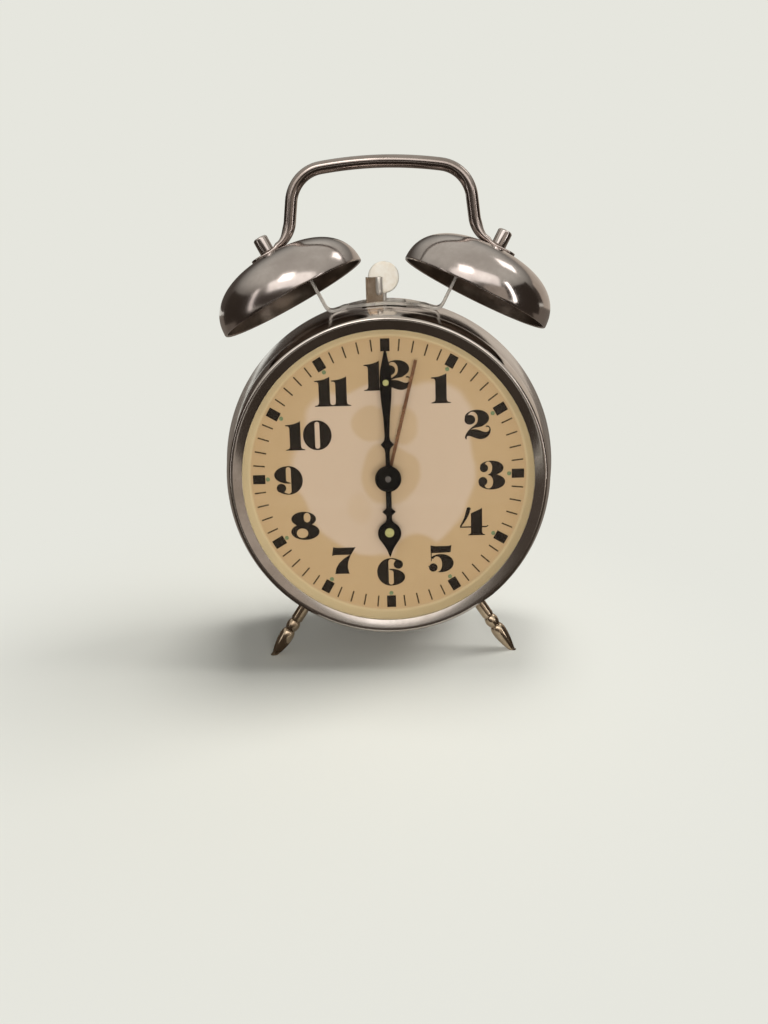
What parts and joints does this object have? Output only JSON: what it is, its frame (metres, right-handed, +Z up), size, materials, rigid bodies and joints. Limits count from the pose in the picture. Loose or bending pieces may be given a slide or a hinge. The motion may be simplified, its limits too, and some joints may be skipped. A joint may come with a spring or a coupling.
{
  "type": "twin bell alarm clock",
  "caption": "Wind-up alarm clock with two bells over a round nickel case, a hammer between them, a carrying handle, turned front legs and a cream dial under domed glass.",
  "frame": {"origin": "on the floor under the middle of the outline box", "axes": "+Z up from the floor, dial towards -Y, +X to the right as seen from the dial side; the clock leans back about ten degrees on its two legs and the rear of its case"},
  "size_m": [0.1196, 0.0708, 0.1659],
  "materials": {
    "nickel_plate": "worn polished nickel plate",
    "bronzed_nickel": "tarnished nickel over brass",
    "steel": "bright sheet and turned steel",
    "blued_steel": "blued spring steel",
    "blacked_steel": "black lacquer",
    "brass": "plain brass",
    "dial_paint": "aged cream print on sheet metal",
    "crystal": "clear domed glass"
  },
  "bodies": {
    "clock": {"case_shell": "nickel_plate", "bezel": "nickel_plate", "glass": "crystal", "dial": "dial_paint", "back_cover": "nickel_plate", "cover_screws": "steel", "left_leg": "bronzed_nickel", "right_leg": "bronzed_nickel", "leg_nuts": "steel", "bell_bracket": "steel", "bracket_rivets": "steel", "left_bell": "nickel_plate", "right_bell": "nickel_plate", "bell_studs": "steel", "bell_spacers": "steel", "bell_nuts": "nickel_plate", "handle": "nickel_plate", "front_plate": "brass", "back_plate": "brass", "pillars": "steel", "pillar_nuts": "steel", "movement_posts": "steel", "cover_posts": "steel", "time_mainspring": "blued_steel", "alarm_mainspring": "blued_steel", "clicks": "steel", "hairspring": "blued_steel"},
    "minute_group": {"minute_hand": "blacked_steel", "hand_cap": "blacked_steel", "centre_arbor": "steel", "cannon_pinion": "steel", "time_set_knob": "nickel_plate"},
    "minute_work": {"minute_wheel": "brass"},
    "hour_group": {"hour_hand": "blacked_steel", "hour_wheel": "brass"},
    "alarm_dial_group": {"alarm_hand": "brass", "alarm_wheel": "brass"},
    "alarm_setter": {"alarm_set_arbor": "steel", "alarm_set_knob": "nickel_plate"},
    "centre_group": {"centre_wheel": "brass"},
    "third_group": {"third_wheel": "brass", "third_arbor": "steel"},
    "fourth_group": {"fourth_wheel": "brass", "fourth_arbor": "steel"},
    "escape_group": {"escape_wheel": "brass"},
    "pallet_group": {"pallet_lever": "steel"},
    "balance_group": {"balance_wheel": "brass"},
    "time_great_group": {"time_great_wheel": "brass"},
    "time_winder": {"time_winding_arbor": "steel", "time_key": "nickel_plate"},
    "alarm_great_group": {"alarm_great_wheel": "brass"},
    "alarm_winder": {"alarm_winding_arbor": "steel", "alarm_key": "nickel_plate"},
    "star_group": {"alarm_star_wheel": "brass"},
    "hammer_group": {"hammer_head": "steel", "hammer_arm": "steel"},
    "stop_group": {"stop_lever": "steel"},
    "regulator_group": {"regulator_lever": "steel"}
  },
  "joints": [
    {"name": "minute_hand_turn", "type": "hinge", "parent": "clock", "child": "minute_group", "pos_m": [0, -0.01925, 0.06397], "axis": [0, 0.9858, -0.1681], "continuous": true},
    {"name": "minute_wheel_turn", "type": "hinge", "parent": "clock", "child": "minute_work", "pos_m": [0.0048, -0.01391, 0.0715], "axis": [0, 0.9858, -0.1681], "continuous": true},
    {"name": "hour_hand_turn", "type": "hinge", "parent": "clock", "child": "hour_group", "pos_m": [0, -0.01925, 0.06397], "axis": [0, 0.9858, -0.1681], "continuous": true},
    {"name": "alarm_hand_turn", "type": "hinge", "parent": "clock", "child": "alarm_dial_group", "pos_m": [0, -0.01925, 0.06397], "axis": [0, 0.9858, -0.1681], "continuous": true},
    {"name": "alarm_set_turn", "type": "hinge", "parent": "clock", "child": "alarm_setter", "pos_m": [0, 0.00307, 0.07589], "axis": [0, 0.9858, -0.1681], "continuous": true},
    {"name": "fourth_wheel_turn", "type": "hinge", "parent": "clock", "child": "fourth_group", "pos_m": [0.00594, -0.00617, 0.04546], "axis": [0, 0.9858, -0.1681], "continuous": true},
    {"name": "escape_wheel_turn", "type": "hinge", "parent": "clock", "child": "escape_group", "pos_m": [0.00874, -0.00497, 0.03467], "axis": [0, 0.9858, -0.1681], "continuous": true},
    {"name": "third_wheel_turn", "type": "hinge", "parent": "clock", "child": "third_group", "pos_m": [-0.00647, -0.01073, 0.04846], "axis": [0, 0.9858, -0.1681], "continuous": true},
    {"name": "centre_wheel_turn", "type": "hinge", "parent": "clock", "child": "centre_group", "pos_m": [0, -0.00939, 0.06229], "axis": [0, 0.9858, -0.1681], "continuous": true},
    {"name": "time_great_turn", "type": "hinge", "parent": "clock", "child": "time_great_group", "pos_m": [0.01759, -0.00547, 0.06742], "axis": [0, 0.9858, -0.1681], "continuous": true},
    {"name": "pallet_swing", "type": "hinge", "parent": "clock", "child": "pallet_group", "pos_m": [0.00052, -0.00379, 0.03564], "axis": [0, 0.9858, -0.1681], "range_deg": [-3, 3]},
    {"name": "balance_swing", "type": "hinge", "parent": "clock", "child": "balance_group", "pos_m": [-0.00933, -0.00211, 0.03359], "axis": [0, 0.9858, -0.1681], "range_deg": [-120, 120], "stiffness_Nm_per_rad": 0.000012},
    {"name": "time_key_turn", "type": "hinge", "parent": "clock", "child": "time_winder", "pos_m": [0.01759, 0.02114, 0.06288], "axis": [0, 0.9858, -0.1681], "range_deg": [0, 1800]},
    {"name": "alarm_key_turn", "type": "hinge", "parent": "clock", "child": "alarm_winder", "pos_m": [-0.01759, 0.02114, 0.06288], "axis": [0, 0.9858, -0.1681], "range_deg": [0, 1800]},
    {"name": "alarm_great_turn", "type": "hinge", "parent": "clock", "child": "alarm_great_group", "pos_m": [-0.01759, 0.00044, 0.06641], "axis": [0, 0.9858, -0.1681], "continuous": true},
    {"name": "star_wheel_turn", "type": "hinge", "parent": "clock", "child": "star_group", "pos_m": [-0.00727, -0.00102, 0.08162], "axis": [0, 0.9858, -0.1681], "continuous": true},
    {"name": "hammer_swing", "type": "hinge", "parent": "clock", "child": "hammer_group", "pos_m": [0, 0.00287, 0.08658], "axis": [0, 0.9858, -0.1681], "range_deg": [-6, 6]},
    {"name": "stop_lever_swing", "type": "hinge", "parent": "clock", "child": "stop_group", "pos_m": [-0.0045, -0.00418, 0.09285], "axis": [0, 0.9858, -0.1681], "range_deg": [0, 8]},
    {"name": "regulator_swing", "type": "hinge", "parent": "clock", "child": "regulator_group", "pos_m": [-0.00933, 0.00479, 0.03242], "axis": [0, 0.9858, -0.1681], "range_deg": [-20, 20]}
  ],
  "couplings": [
    {"joint": "minute_wheel_turn", "follows": "minute_hand_turn", "ratio": -0.33333},
    {"joint": "hour_hand_turn", "follows": "minute_hand_turn", "ratio": 0.083333},
    {"joint": "alarm_set_turn", "follows": "alarm_hand_turn", "ratio": -3.4286},
    {"joint": "escape_wheel_turn", "follows": "fourth_wheel_turn", "ratio": -8},
    {"joint": "third_wheel_turn", "follows": "fourth_wheel_turn", "ratio": -0.125},
    {"joint": "centre_wheel_turn", "follows": "fourth_wheel_turn", "ratio": 0.016667},
    {"joint": "time_great_turn", "follows": "fourth_wheel_turn", "ratio": -0.0026042},
    {"joint": "star_wheel_turn", "follows": "alarm_great_turn", "ratio": -8}
  ]
}
